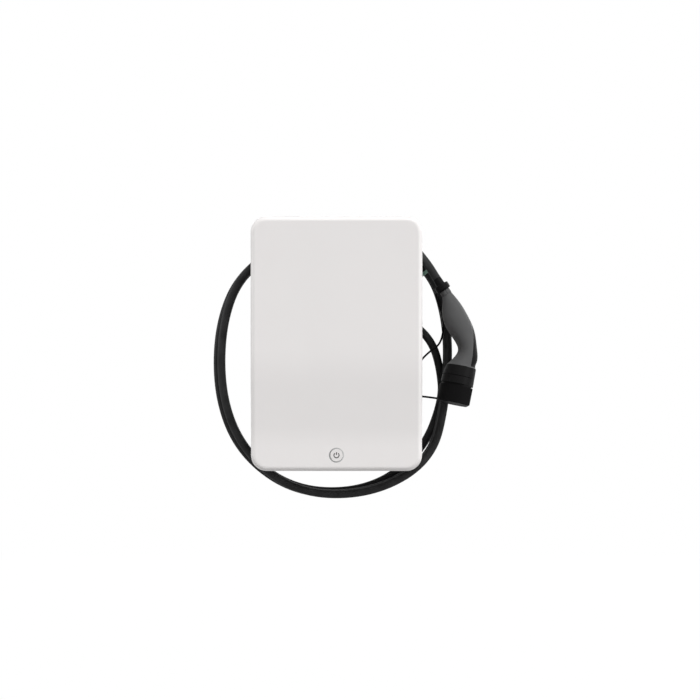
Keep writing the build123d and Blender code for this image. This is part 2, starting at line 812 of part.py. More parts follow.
def plug_shell():
    body = loft([Plane.XY.offset(w) * Pos(u, 0) * Ellipse(half_u, half_v) for w, u, half_u, half_v in PLUG_SECTIONS])
    _, middle_u, half_u, half_v = PLUG_SECTIONS[1]
    groove = Rectangle(4 * half_u, 4 * half_v) - Pos(middle_u, 0) * Ellipse(half_u - groove_depth, half_v - groove_depth)
    body -= between(groove, groove_top_w, groove_top_w - groove_width)
    body -= between(nose_outline(-nose_wall), -connector_wall, flange_end_w)
    body += between(nose_outline() - nose_outline(-nose_wall), flange_end_w, nose_end_w)
    return connector_place * body


def contact_carrier():
    body = between(nose_outline(-nose_wall - carrier_clearance), carrier_back_w, carrier_end_w)
    for places, radius in ((power_contact_places, power_contact_radius),
                           (signal_contact_places, signal_contact_radius)):
        for u, v in places:
            body -= between(Pos(u, v) * Circle(radius + contact_clearance), carrier_back_w, carrier_end_w)
    return connector_place * body


def contacts(places, radius, bore):
    tubes = Part()
    for u, v in places:
        pin = between(Pos(u, v) * Circle(radius), contact_back_w, contact_end_w)
        tubes += pin - between(Pos(u, v) * Circle(bore), contact_end_w + power_bore_depth, contact_end_w)
    return connector_place * tubes


def dust_cap():
    outer = cap_clearance + cap_wall
    cap = between(nose_outline(outer), cap_mouth_w, cap_end_w)
    cap = chamfer(cap.edges().group_by(Axis.Z)[0], cap_edge)
    lug_way = math.radians(180 - cap_lug_angle_deg)
    way = Vector(math.cos(lug_way), math.sin(lug_way), 0)
    centre = Vector(nose_centre_u, 0, cap_lug_w)
    reach = nose_radius + outer
    cap += disc_solid(centre, way, cap_lug_radius, reach - cap_wall / 2, reach + cap_lug_reach)
    cap -= between(nose_outline(cap_clearance), cap_mouth_w, nose_end_w - cap_clearance)
    return connector_place * cap


def tail_nut():
    nut = disc_solid(tail_point, tail_direction, tail_nut_radius, -tail_nut_length, 0)
    nut = chamfer(nut.edges().filter_by(GeomType.CIRCLE), tail_nut_edge)
    about = Plane(origin=tail_point - tail_direction * tail_nut_length / 2, z_dir=tail_direction).location
    for flute in PolarLocations(tail_nut_radius + flute_out, flute_count):
        nut -= about * flute * Cylinder(flute_radius, tail_nut_length)
    nut -= disc_solid(tail_point, tail_direction, cable_radius + cable_clearance, -tail_nut_length, 0)
    return connector_place * nut


def collar_lug_axis():
    """The collar's middle, and the way its lug points: away from the grip and towards the wall."""
    turn = math.radians(collar_lug_deg)
    away = Vector(-math.sin(tail_turn), 0, -math.cos(tail_turn)) * math.cos(turn) + Vector(0, math.sin(turn), 0)
    middle = tail_point - tail_direction * (tail_nut_length + collar_gap + collar_length / 2)
    return middle, away


def tether_collar():
    start = -(tail_nut_length + collar_gap)
    collar = disc_solid(tail_point, tail_direction, collar_radius, start - collar_length, start)
    middle, away = collar_lug_axis()
    collar += disc_solid(middle, away, cap_lug_radius, cable_radius + collar_lug_root, collar_radius + collar_lug)
    collar -= disc_solid(tail_point, tail_direction, cable_radius + cable_clearance, start - collar_length, start)
    return connector_place * collar


def tether_points():
    middle, away = collar_lug_axis()
    lug_face = collar_radius + collar_lug
    start = (connector_place * Pos(*(middle + away * lug_face))).position
    after_start = (connector_place * Pos(*(middle + away * (lug_face + tether_start_straight)))).position
    lug_way = math.radians(180 - cap_lug_angle_deg)
    way = Vector(math.cos(lug_way), math.sin(lug_way), 0)
    tip = Vector(nose_centre_u, 0, cap_lug_w) + way * (
        nose_radius + cap_clearance + cap_wall + cap_lug_reach)
    end = (connector_place * Pos(*tip)).position
    before_end = (connector_place * Pos(*(tip + way * tether_end_straight))).position
    return [start, after_start, Vector(169, -58.8, 66), Vector(177, -58.8, 44), Vector(177, -59.2, 22),
            Vector(168, -59.5, 1), Vector(154.5, -59.5, -15), Vector(136.5, -60, -38),
            Vector(122.5, -60.5, -64.5), Vector(134, -61, -86), before_end, end]


# Every piece, by the name of its node
pieces = {
    "wall_bracket": wall_bracket(),
    "locking_screw": locking_screw(),
    "rear_housing": rear_housing(),
    "housing_flange": housing_flange(),
    "housing_seal": housing_seal(),
    "front_cover": front_cover(),
    "cover_screws": cover_screws(),
    "light_ring": light_ring(),
    "power_button": power_button(),
    "switch_plunger": switch_plunger(),
    "switch_body": switch_body(),
    "control_board": control_board(),
    "control_board_screws": board_screws(control_screw_places(), control_board_front_y + board_thickness, -1),
    "main_board": main_board(),
    "main_board_screws": board_screws(main_screw_places(), main_board_front_y, 1),
    "power_relays": power_relays(),
    "power_supply_module": power_supply_module(),
    "residual_current_sensor": residual_current_sensor(),
    "supply_terminals": supply_terminals(),
    "cable_terminals": cable_terminals(),
    "supply_grommet": supply_grommet(),
    "gland_body": gland_body(),
    "gland_locknut": gland_locknut(),
    "gland_seal": gland_seal(),
    "gland_nut": gland_nut(),
    "cable_gland_lead": tube("cable_gland_lead", gland_lead_points(), cable_diameter),
    "cable_coil": cable_coil(),
    "cable_tie": cable_tie(),
    "cable_connector_lead": tube("cable_connector_lead", connector_lead_points(), cable_diameter),
    "tether_collar": tether_collar(),
    "connector_tail_nut": tail_nut(),
    "grip_shell": grip_shell(),
    "grip_spine": grip_spine(),
    "plug_shell": plug_shell(),
    "contact_carrier": contact_carrier(),
    "power_contacts": contacts(power_contact_places, power_contact_radius, power_bore_radius),
    "signal_contacts": contacts(signal_contact_places, signal_contact_radius, signal_bore_radius),
    "dust_cap": dust_cap(),
    "cap_tether": tube("cap_tether", tether_points(), tether_diameter),
}

os.makedirs("parts", exist_ok=True)
for name, piece in pieces.items():
    export_step(piece, f"parts/{name}.step")
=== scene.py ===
import bmesh
import bpy
import json
import math
from mathutils import Matrix, Vector


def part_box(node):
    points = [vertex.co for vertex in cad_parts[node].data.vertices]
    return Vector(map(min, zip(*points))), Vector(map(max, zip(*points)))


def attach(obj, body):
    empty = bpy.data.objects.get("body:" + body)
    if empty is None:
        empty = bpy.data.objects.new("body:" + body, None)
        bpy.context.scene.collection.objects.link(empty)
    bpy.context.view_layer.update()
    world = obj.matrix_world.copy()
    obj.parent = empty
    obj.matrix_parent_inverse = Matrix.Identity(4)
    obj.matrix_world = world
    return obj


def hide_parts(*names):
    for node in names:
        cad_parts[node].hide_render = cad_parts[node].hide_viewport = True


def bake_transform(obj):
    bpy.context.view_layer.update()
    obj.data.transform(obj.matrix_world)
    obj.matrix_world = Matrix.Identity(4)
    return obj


# A wall-mounted car charging station. Metres, in the frame of the CAD: X to the
# right as seen from the front, Z up, the front faces -Y and the wall is Y = 0.

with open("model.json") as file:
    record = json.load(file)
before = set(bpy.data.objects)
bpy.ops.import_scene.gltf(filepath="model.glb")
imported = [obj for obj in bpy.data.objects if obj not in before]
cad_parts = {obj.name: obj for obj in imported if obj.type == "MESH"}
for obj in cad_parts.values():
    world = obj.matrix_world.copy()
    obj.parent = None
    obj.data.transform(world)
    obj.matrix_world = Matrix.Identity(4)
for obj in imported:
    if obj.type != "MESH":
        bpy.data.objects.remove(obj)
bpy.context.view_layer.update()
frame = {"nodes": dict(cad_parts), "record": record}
nodes = frame["nodes"]
scene = bpy.context.scene
scene.view_settings.view_transform = "Standard"

# Camera: straight at the front, framed so that a pixel is PIXEL wide at the cover's face

PHOTO_SIZE = 700
SHIFT_X_PIXELS, SHIFT_Y_PIXELS = 13.5, -6.0
CAMERA_BACK = 2.34
PIXEL = 1.602e-3
FRONT_Y = -0.130
SENSOR_WIDTH = 36.0
camera_data = bpy.data.cameras.new("camera")
camera_data.sensor_width = SENSOR_WIDTH
camera_data.lens = SENSOR_WIDTH * (CAMERA_BACK + FRONT_Y) / (PHOTO_SIZE * PIXEL)
camera_data.shift_x = SHIFT_X_PIXELS / PHOTO_SIZE
camera_data.shift_y = SHIFT_Y_PIXELS / PHOTO_SIZE
camera = bpy.data.objects.new("camera", camera_data)
camera.location = (0.0, -CAMERA_BACK, 0.0)
camera.rotation_euler = (math.pi / 2, 0.0, 0.0)
scene.collection.objects.link(camera)
scene.camera = camera


# Routes of the cords

ROUTE_RESOLUTION = 12


def route_curve(name, points):
    """A cord's smooth line, with the route's points as its control points."""
    data = bpy.data.curves.new(name, "CURVE")
    data.dimensions = "3D"
    spline = data.splines.new("NURBS")
    spline.points.add(len(points) - 1)
    for knot, point in zip(spline.points, points):
        knot.co = (*point, 1.0)
    spline.order_u = 3
    spline.use_endpoint_u = True
    spline.resolution_u = ROUTE_RESOLUTION
    data.resolution_u = ROUTE_RESOLUTION
    piece = bpy.data.objects.new(name, data)
    scene.collection.objects.link(piece)
    return piece


def centreline(points):
    """Points along a route's smooth line."""
    piece = route_curve("line", points)
    bpy.context.view_layer.update()
    mesh = bpy.data.meshes.new_from_object(piece)
    line = [v.co.copy() for v in mesh.vertices]
    bpy.data.meshes.remove(mesh)
    data = piece.data
    bpy.data.objects.remove(piece)
    bpy.data.curves.remove(data)
    return line


def line_length(line):
    return sum((b - a).length for a, b in zip(line, line[1:]))


def part_of_line(line, start, end, step):
    """Points on a line between two distances along it, evenly spaced."""
    points, gone, want = [], 0.0, start
    for a, b in zip(line, line[1:]):
        length = (b - a).length
        while want <= end and gone + length >= want:
            points.append(a.lerp(b, (want - gone) / length))
            want += step
        gone += length
    return points


# Meshes

def polish(piece, sharp_degrees=35):
    """Smooth faces, with edges sharper than the angle kept."""
    mesh = piece.data
    mesh.polygons.foreach_set("use_smooth", [True] * len(mesh.polygons))
    mesh.set_sharp_from_angle(angle=math.radians(sharp_degrees))
    return piece


def from_bmesh(name, bm):
    bmesh.ops.recalc_face_normals(bm, faces=bm.faces)
    mesh = bpy.data.meshes.new(name)
    bm.to_mesh(mesh)
    bm.free()
    piece = bpy.data.objects.new(name, mesh)
    scene.collection.objects.link(piece)
    return polish(piece)


def join_rings(bm, rings, closed):
    """Quads from each ring of vertices to the next, and from the last to the first if closed."""
    following = rings[1:] + rings[:1] if closed else rings[1:]
    for low, high in zip(rings, following):
        for k in range(len(low)):
            after = (k + 1) % len(low)
            bm.faces.new((low[k], low[after], high[after], high[k]))


def tube_along(name, line, radii, sides):
    """A closed tube whose rings stand on a line's points, each with its radius."""
    bm = bmesh.new()
    side = None
    angles = [2 * math.pi * k / sides for k in range(sides)]
    rings = []
    for i, centre in enumerate(line):
        ahead = (line[min(i + 1, len(line) - 1)] - line[max(i - 1, 0)]).normalized()
        if side is None:
            side = ahead.orthogonal().normalized()
        side = (side - ahead * side.dot(ahead)).normalized()
        up = ahead.cross(side)
        rings.append([bm.verts.new(centre + (side * math.cos(a) + up * math.sin(a)) * radii[i])
                      for a in angles])
    join_rings(bm, rings, closed=False)
    bm.faces.new(rings[0])
    bm.faces.new(rings[-1])
    return from_bmesh(name, bm)


# Charging cable: out of the gland, round the loops and to the connector.
# The gland lead leaves out its last point in the CAD, and its last two here stand
# 3 and 13 mm from the CAD's, so that it joins the loops in one bend. The connector
# lead's first three stand 3 to 8 mm from the CAD's, to follow the photograph.

CABLE_DIAMETER = 0.0135
CABLE_RADIUS = CABLE_DIAMETER / 2
GLAND_LEAD = [
    (0.10559, -0.034, 0.0477), (0.131, -0.034, 0.033), (0.161, -0.032, 0.002), (0.1745, -0.022, -0.043),
]
CONNECTOR_LEAD = [
    (0.049, -0.055, 0.193), (0.108, -0.058, 0.182), (0.148, -0.062, 0.1365),
    (0.16714, -0.07026, 0.10387), (0.18466, -0.07274, 0.07601),
]
# The corners of the loops' mid line, X and Z, clockwise from the top as seen from the front
LOOP = [
    (0.060, 0.186), (0.155, 0.130), (0.187, 0.032), (0.188, -0.097), (0.157, -0.193), (0.060, -0.252),
    (-0.065, -0.250), (-0.158, -0.188), (-0.195, -0.092), (-0.195, 0.027), (-0.160, 0.121), (-0.062, 0.186),
]
LOOP_CENTRE = (0.0, -0.032)
LAYER_Y = (-0.0087, -0.0220, -0.0353, -0.0486)
# How far each layer lies outside the mid line at each corner, in millimetres, back layer first
LAYER_OUT = [
    (-5.5, -5.5, -5.5, -5.5), (0.5, 1.5, -0.5, 0.5), (0.5, 1.5, -0.5, 0.5), (-9.0, -5.0, -7.0, -6.0),
    (-16.0, 2.5, 0.0, 1.0), (-5.0, -1.5, -2.5, -2.0), (0.0, 1.5, 0.5, -1.0), (-2.0, -6.5, -1.0, -8.5),
    (3.0, -2.0, 3.5, -4.5), (4.0, -1.0, 4.0, -3.5), (0.5, 0.0, 0.5, -0.5), (-5.5, -5.5, -5.5, -5.5),
]
MILLIMETRE = 1e-3
FIRST_CORNER = 3
LAST_STEP = 44
CABLE_BEVEL_RESOLUTION = 8


def loop_point(step):
    """A control point of the wound cable, so many corners after it joins the loops."""
    layer, corner = divmod(FIRST_CORNER + step, len(LOOP))
    x, z = LOOP[corner]
    outward = Vector((x - LOOP_CENTRE[0], z - LOOP_CENTRE[1])).normalized()
    away = outward * LAYER_OUT[corner][layer] * MILLIMETRE
    return (x + away.x, LAYER_Y[layer], z + away.y)


cable_route = GLAND_LEAD + [loop_point(step) for step in range(LAST_STEP + 1)] + CONNECTOR_LEAD
cable_line = centreline(cable_route)
cable_length = line_length(cable_line)
charging_cable = route_curve("charging_cable", cable_route)
charging_cable.data.bevel_depth = CABLE_RADIUS
charging_cable.data.bevel_resolution = CABLE_BEVEL_RESOLUTION
charging_cable.data.use_fill_caps = True

# Tether of the dust cap. Its sixth to eighth points stand 3 to 8 mm from the CAD's,
# and it is thicker than there, both to follow the photograph.

TETHER_DIAMETER = 0.0032
TETHER_ROUTE = [
    (0.16693, -0.06346, 0.08714), (0.16294, -0.05922, 0.08425), (0.169, -0.0588, 0.066),
    (0.177, -0.0588, 0.044), (0.177, -0.0592, 0.022), (0.171, -0.0595, -0.001),
    (0.153, -0.0595, -0.013), (0.1365, -0.060, -0.030), (0.1225, -0.0605, -0.0645),
    (0.134, -0.061, -0.086), (0.15404, -0.06286, -0.08783), (0.16706, -0.07199, -0.08962),
]
tether_line = centreline(TETHER_ROUTE)
tether_radii = [TETHER_DIAMETER / 2] * len(tether_line)
cap_tether = tube_along("cap_tether_cord", tether_line, tether_radii, sides=16)


# Strain reliefs

SLEEVE_STEP = 0.0005
SLEEVE_PLAIN_SHARE = 0.1
SLEEVE_RING_SHARE = 0.22
SLEEVE_START_ROUNDING, SLEEVE_END_ROUNDING = 0.0004, 0.0003


def sleeve(name, start, end, thick_start, thick_end, ring_pitch=None):
    """A tapered rubber sleeve on the cable, with rings that let it bend."""
    line = part_of_line(cable_line, start, end, SLEEVE_STEP)
    radii = []
    for i in range(len(line)):
        share = i / (len(line) - 1)
        wall = thick_start + (thick_end - thick_start) * share
        if ring_pitch and SLEEVE_PLAIN_SHARE < share < 1 - SLEEVE_PLAIN_SHARE:
            wave = math.cos(2 * math.pi * i * SLEEVE_STEP / ring_pitch)
            wall *= 1 - SLEEVE_RING_SHARE + SLEEVE_RING_SHARE * wave
        radii.append(CABLE_RADIUS + wall)
    radii[0] -= SLEEVE_START_ROUNDING
    radii[-1] -= SLEEVE_END_ROUNDING
    return tube_along(name, line, radii, sides=36)


gland_sleeve = sleeve("gland_sleeve", start=0.0195, end=0.0415,
                      thick_start=0.0022, thick_end=0.0007, ring_pitch=0.0035)
connector_sleeve = sleeve("connector_sleeve", start=cable_length - 0.0375, end=cable_length - 0.0142,
                          thick_start=0.0002, thick_end=0.0012)


# The tether collar's thick rim

COLLAR_PROBE = 0.001
COLLAR_EDGE_STEPS = 5
COLLAR_SIDES = 48


def ring_round_line(name, at, half_length, inner, outer, edge):
    """A ring of rectangular section with rounded outer edges, standing square on the cable."""
    a, b = part_of_line(cable_line, at - COLLAR_PROBE, at + COLLAR_PROBE, 2 * COLLAR_PROBE)[:2]
    ahead = (b - a).normalized()
    centre = (a + b) / 2
    side = ahead.orthogonal().normalized()
    up = ahead.cross(side)
    section = [(-half_length, inner), (-half_length, outer - edge)]
    turns = [math.pi / 2 * k / COLLAR_EDGE_STEPS for k in range(1, COLLAR_EDGE_STEPS + 1)]
    section += [(-half_length + edge * (1 - math.cos(t)), outer - edge * (1 - math.sin(t))) for t in turns]
    section += [(-along, radius) for along, radius in reversed(section)]
    bm = bmesh.new()
    rings = []
    for k in range(COLLAR_SIDES):
        angle = 2 * math.pi * k / COLLAR_SIDES
        out = side * math.cos(angle) + up * math.sin(angle)
        rings.append([bm.verts.new(centre + ahead * along + out * radius) for along, radius in section])
    join_rings(bm, rings, closed=True)
    return from_bmesh(name, bm)


collar_rim = ring_round_line("collar_rim", at=cable_length - 0.0200, half_length=0.0048,
                             inner=0.0090, outer=0.0122, edge=0.0010)


# Strap round the loops

STRAP_PLACE = Vector((0.1505, 0.0, 0.121))
STRAP_WAY = Vector((0.62, 0.0, -0.785)).normalized()
STRAP_REACH = 0.03
STRAP_FRONT_LIMIT_Y = -0.055
STRAP_HALF_WIDTH = 0.0030
STRAP_THICKNESS = 0.0015
STRAP_CLEARANCE = 0.0002
STRAP_SPREAD_SHARE = 0.6
STRAP_FLAT_SHARE = 0.86
STRAP_TURNS = 48
LOCK_SIZE = (0.0062, 0.0044, 0.0058)
LOCK_OUT = 0.0012
LOCK_BEVEL = 0.0006


def strap_strands():
    """Where the wound strands cross the strap's plane."""
    found = []
    for a, b in zip(cable_line, cable_line[1:]):
        before, after = (a - STRAP_PLACE).dot(STRAP_WAY), (b - STRAP_PLACE).dot(STRAP_WAY)
        near = (a - STRAP_PLACE).xz.length < STRAP_REACH and a.y > STRAP_FRONT_LIMIT_Y
        if before < 0 <= after and near:
            found.append(a.lerp(b, before / (before - after)))
    return found


def cable_strap():
    """The strap round the strands, and the lock at the back that its end runs through."""
    strands = strap_strands()
    middle = sum(strands, Vector()) / len(strands)
    back = max(strands, key=lambda p: p.y)
    front = min(strands, key=lambda p: p.y)
    across = STRAP_WAY.cross(Vector((0, 1, 0))).normalized()
    reach = max(abs((p - middle).dot(across)) for p in strands)
    inner = CABLE_RADIUS + reach * STRAP_SPREAD_SHARE + STRAP_CLEARANCE
    outer = inner + STRAP_THICKNESS
    section = ((-1, inner), (-STRAP_FLAT_SHARE, outer), (STRAP_FLAT_SHARE, outer), (1, inner))
    bm = bmesh.new()
    rings = []
    for k in range(STRAP_TURNS):
        angle = 2 * math.pi * k / STRAP_TURNS
        centre_y = front.y if math.cos(angle) > 0 else back.y
        ring = []
        for along, radius in section:
            point = middle + across * (radius * math.sin(angle)) + STRAP_WAY * (STRAP_HALF_WIDTH * along)
            point.y = centre_y - radius * math.cos(angle)
            ring.append(bm.verts.new(point))
        rings.append(ring)
    join_rings(bm, rings, closed=True)
    strap = from_bmesh("cable_strap", bm)

    bm = bmesh.new()
    bmesh.ops.create_cube(bm, size=1.0)
    size = Matrix.Diagonal((*LOCK_SIZE, 1.0))
    turn = Matrix((across, Vector((0, 1, 0)), STRAP_WAY)).transposed().to_4x4()
    place = middle + Vector((0, back.y - middle.y + outer + LOCK_OUT, 0))
    bmesh.ops.transform(bm, matrix=Matrix.Translation(place) @ turn @ size, verts=bm.verts)
    bmesh.ops.bevel(bm, geom=bm.edges[:], offset=LOCK_BEVEL, segments=2, affect="EDGES")
    return strap, from_bmesh("cable_strap_lock", bm)


strap, strap_lock = cable_strap()


# Power symbol printed on the button

SYMBOL_RADIUS = 0.0041
SYMBOL_HALF_LINE = 0.00075
SYMBOL_GAP = math.radians(38)
SYMBOL_BAR_TOP, SYMBOL_BAR_BOTTOM = 0.0050, 0.0004
SYMBOL_STEPS = 40
PRINT_HEIGHT, PRINT_SUNK = 0.00006, 0.00002


def power_symbol():
    low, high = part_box("power_button")
    centre_x, centre_z = (low.x + high.x) / 2, (low.z + high.z) / 2
    bm = bmesh.new()

    def ribbon(spine):
        """A flat ribbon along a spine, which is points with the direction across it at each."""
        rows = []
        for (x, z), (across_x, across_z) in spine:
            row = []
            for half in (-SYMBOL_HALF_LINE, SYMBOL_HALF_LINE):
                px, pz = centre_x + x + across_x * half, centre_z + z + across_z * half
                row.append([bm.verts.new((px, y, pz)) for y in (low.y + PRINT_SUNK, low.y - PRINT_HEIGHT)])
            rows.append(row)
        for one, two in zip(rows, rows[1:]):
            (a0, a1), (b0, b1) = one
            (c0, c1), (d0, d1) = two
            for quad in ((a1, b1, d1, c1), (a0, c0, d0, b0), (a0, a1, c1, c0), (b0, d0, d1, b1)):
                bm.faces.new(quad)
        for (a0, a1), (b0, b1) in (rows[0], rows[-1]):
            bm.faces.new((a0, b0, b1, a1))

    arc = []
    for k in range(SYMBOL_STEPS + 1):
        angle = math.pi / 2 + SYMBOL_GAP + (2 * math.pi - 2 * SYMBOL_GAP) * k / SYMBOL_STEPS
        out = (math.cos(angle), math.sin(angle))
        arc.append(((SYMBOL_RADIUS * out[0], SYMBOL_RADIUS * out[1]), out))
    ribbon(arc)
    ribbon([((0.0, SYMBOL_BAR_TOP), (1, 0)), ((0.0, SYMBOL_BAR_BOTTOM), (1, 0))])
    return from_bmesh("power_symbol", bm)


symbol = power_symbol()


# Materials

def new_material(name):
    material = bpy.data.materials.new(name)
    material.use_nodes = True
    tree = material.node_tree
    shader = tree.nodes["Principled BSDF"]
    coords = tree.nodes.new("ShaderNodeTexCoord")
    return material, tree, shader, coords


def noise(tree, coords, size, detail, stretch=None):
    """A 0 to 1 noise whose features are about this size, in metres."""
    node = tree.nodes.new("ShaderNodeTexNoise")
    node.inputs["Scale"].default_value = 1.0 / size
    node.inputs["Detail"].default_value = detail
    place = coords.outputs["Object"]
    if stretch:
        mapping = tree.nodes.new("ShaderNodeMapping")
        mapping.inputs["Scale"].default_value = stretch
        tree.links.new(place, mapping.inputs["Vector"])
        place = mapping.outputs["Vector"]
    tree.links.new(place, node.inputs["Vector"])
    return node.outputs["Fac"]


# The part of a source's range, 0 to 1, over which what follows it changes
SOURCE_LOW, SOURCE_HIGH = 0.3, 0.7


def spread(tree, source, low, high):
    """A value between low and high that follows a 0 to 1 source."""
    node = tree.nodes.new("ShaderNodeMapRange")
    node.inputs["From Min"].default_value = SOURCE_LOW
    node.inputs["From Max"].default_value = SOURCE_HIGH
    node.inputs["To Min"].default_value = low
    node.inputs["To Max"].default_value = high
    tree.links.new(source, node.inputs["Value"])
    return node.outputs["Result"]


def tint(tree, source, colour, swing):
    """A colour that varies by this share either way with a 0 to 1 source."""
    ramp = tree.nodes.new("ShaderNodeValToRGB")
    dark, light = ramp.color_ramp.elements
    dark.position = SOURCE_LOW
    light.position = SOURCE_HIGH
    dark.color = (*[c * (1 - swing) for c in colour], 1)
    light.color = (*[min(c * (1 + swing), 1) for c in colour], 1)
    tree.links.new(source, ramp.inputs["Fac"])
    return ramp.outputs["Color"]


def bump(tree, source, height, before=None):
    node = tree.nodes.new("ShaderNodeBump")
    node.inputs["Distance"].default_value = height
    node.inputs["Strength"].default_value = 1.0
    tree.links.new(source, node.inputs["Height"])
    if before:
        tree.links.new(before, node.inputs["Normal"])
    return node.outputs["Normal"]


MOTTLE_SIZE = 0.03
GLOSS_SWING = 0.08


def moulded(name, colour, roughness, grain_size, grain_height, swing=0.03, specular=0.5):
    """Moulded plastic or rubber: fine grain, faint clouding and uneven gloss."""
    material, tree, shader, coords = new_material(name)
    clouds = noise(tree, coords, size=MOTTLE_SIZE, detail=4.0)
    grain = noise(tree, coords, size=grain_size, detail=2.0)
    tree.links.new(tint(tree, clouds, colour, swing), shader.inputs["Base Color"])
    gloss = spread(tree, grain, roughness * (1 - GLOSS_SWING), roughness * (1 + GLOSS_SWING))
    tree.links.new(gloss, shader.inputs["Roughness"])
    tree.links.new(bump(tree, grain, grain_height), shader.inputs["Normal"])
    shader.inputs["Specular IOR Level"].default_value = specular
    return material


def galvanised(name):
    """Zinc-coated sheet: spangles of slightly different brightness."""
    material, tree, shader, coords = new_material(name)
    cells = tree.nodes.new("ShaderNodeTexVoronoi")
    cells.inputs["Scale"].default_value = 160.0
    tree.links.new(coords.outputs["Object"], cells.inputs["Vector"])
    split = tree.nodes.new("ShaderNodeSeparateColor")
    tree.links.new(cells.outputs["Color"], split.inputs["Color"])
    zinc = tint(tree, split.outputs["Red"], colour=(0.56, 0.57, 0.58), swing=0.12)
    fine = noise(tree, coords, size=0.0008, detail=2.0)
    tree.links.new(zinc, shader.inputs["Base Color"])
    tree.links.new(spread(tree, split.outputs["Green"], 0.36, 0.52), shader.inputs["Roughness"])
    tree.links.new(bump(tree, fine, height=0.00002), shader.inputs["Normal"])
    shader.inputs["Metallic"].default_value = 1.0
    return material


def turned(name, colour, roughness):
    """Turned or plated metal with fine streaks."""
    material, tree, shader, coords = new_material(name)
    streaks = noise(tree, coords, size=0.002, detail=3.0, stretch=(1.0, 8.0, 1.0))
    tree.links.new(tint(tree, streaks, colour, swing=0.1), shader.inputs["Base Color"])
    tree.links.new(spread(tree, streaks, roughness * 0.8, roughness * 1.2), shader.inputs["Roughness"])
    tree.links.new(bump(tree, streaks, height=0.00001), shader.inputs["Normal"])
    shader.inputs["Metallic"].default_value = 1.0
    return material


def cable_jacket(name):
    """Extruded rubber jacket: satin, with a faint bloom and dust in patches."""
    material, tree, shader, coords = new_material(name)
    bloom = noise(tree, coords, size=0.02, detail=5.0)
    grain = noise(tree, coords, size=0.0006, detail=2.0)
    rubber = tint(tree, bloom, colour=(0.029, 0.029, 0.0294), swing=0.3)
    tree.links.new(rubber, shader.inputs["Base Color"])
    tree.links.new(spread(tree, bloom, 0.46, 0.56), shader.inputs["Roughness"])
    tree.links.new(bump(tree, grain, height=0.00003), shader.inputs["Normal"])
    shader.inputs["Specular IOR Level"].default_value = 0.06
    return material


def circuit_board(name):
    """Solder mask over faint copper tracks."""
    material, tree, shader, coords = new_material(name)
    tracks = tree.nodes.new("ShaderNodeTexBrick")
    tracks.inputs["Scale"].default_value = 90.0
    tracks.inputs["Mortar Size"].default_value = 0.06
    tracks.inputs["Color1"].default_value = (0.012, 0.11, 0.045, 1)
    tracks.inputs["Color2"].default_value = (0.016, 0.13, 0.055, 1)
    tracks.inputs["Mortar"].default_value = (0.03, 0.2, 0.09, 1)
    mapping = tree.nodes.new("ShaderNodeMapping")
    mapping.inputs["Rotation"].default_value = (math.pi / 2, 0, 0)
    tree.links.new(coords.outputs["Object"], mapping.inputs["Vector"])
    tree.links.new(mapping.outputs["Vector"], tracks.inputs["Vector"])
    tree.links.new(tracks.outputs["Color"], shader.inputs["Base Color"])
    tree.links.new(bump(tree, tracks.outputs["Fac"], height=0.00003), shader.inputs["Normal"])
    shader.inputs["Roughness"].default_value = 0.35
    return material


def cover_shell(name):
    """The cover's light moulded plastic: satin, with a soft orange peel."""
    material, tree, shader, coords = new_material(name)
    clouds = noise(tree, coords, size=0.12, detail=3.0)
    peel = noise(tree, coords, size=0.0025, detail=2.0)
    grain = noise(tree, coords, size=0.0005, detail=1.0)
    plastic = tint(tree, clouds, colour=(0.83, 0.807, 0.80), swing=0.008)
    tree.links.new(plastic, shader.inputs["Base Color"])
    tree.links.new(spread(tree, grain, 0.36, 0.44), shader.inputs["Roughness"])
    peeled = bump(tree, peel, height=0.000012)
    tree.links.new(bump(tree, grain, height=0.000006, before=peeled), shader.inputs["Normal"])
    return material


RING_RADIUS = 0.012


def light_guide(name):
    """The button's translucent ring, with painted shade: darker on the left and paler on the right, as if
    lit from the right.
    """
    material, tree, shader, coords = new_material(name)
    place = tree.nodes.new("ShaderNodeSeparateXYZ")
    tree.links.new(coords.outputs["Object"], place.inputs["Vector"])
    across = tree.nodes.new("ShaderNodeMapRange")
    across.inputs["From Min"].default_value = -RING_RADIUS
    across.inputs["From Max"].default_value = RING_RADIUS
    tree.links.new(place.outputs["X"], across.inputs["Value"])
    # Painted shade: the ring's colour runs from a shaded grey on the left to a lit grey on the right
    ramp = tree.nodes.new("ShaderNodeValToRGB")
    left, right = ramp.color_ramp.elements
    left.color = (0.26, 0.265, 0.265, 1)
    right.color = (0.60, 0.60, 0.595, 1)
    tree.links.new(across.outputs["Result"], ramp.inputs["Fac"])
    tree.links.new(ramp.outputs["Color"], shader.inputs["Base Color"])
    grain = noise(tree, coords, size=0.0006, detail=2.0)
    tree.links.new(spread(tree, grain, 0.25, 0.35), shader.inputs["Roughness"])
    tree.links.new(bump(tree, grain, height=0.000005), shader.inputs["Normal"])
    return material


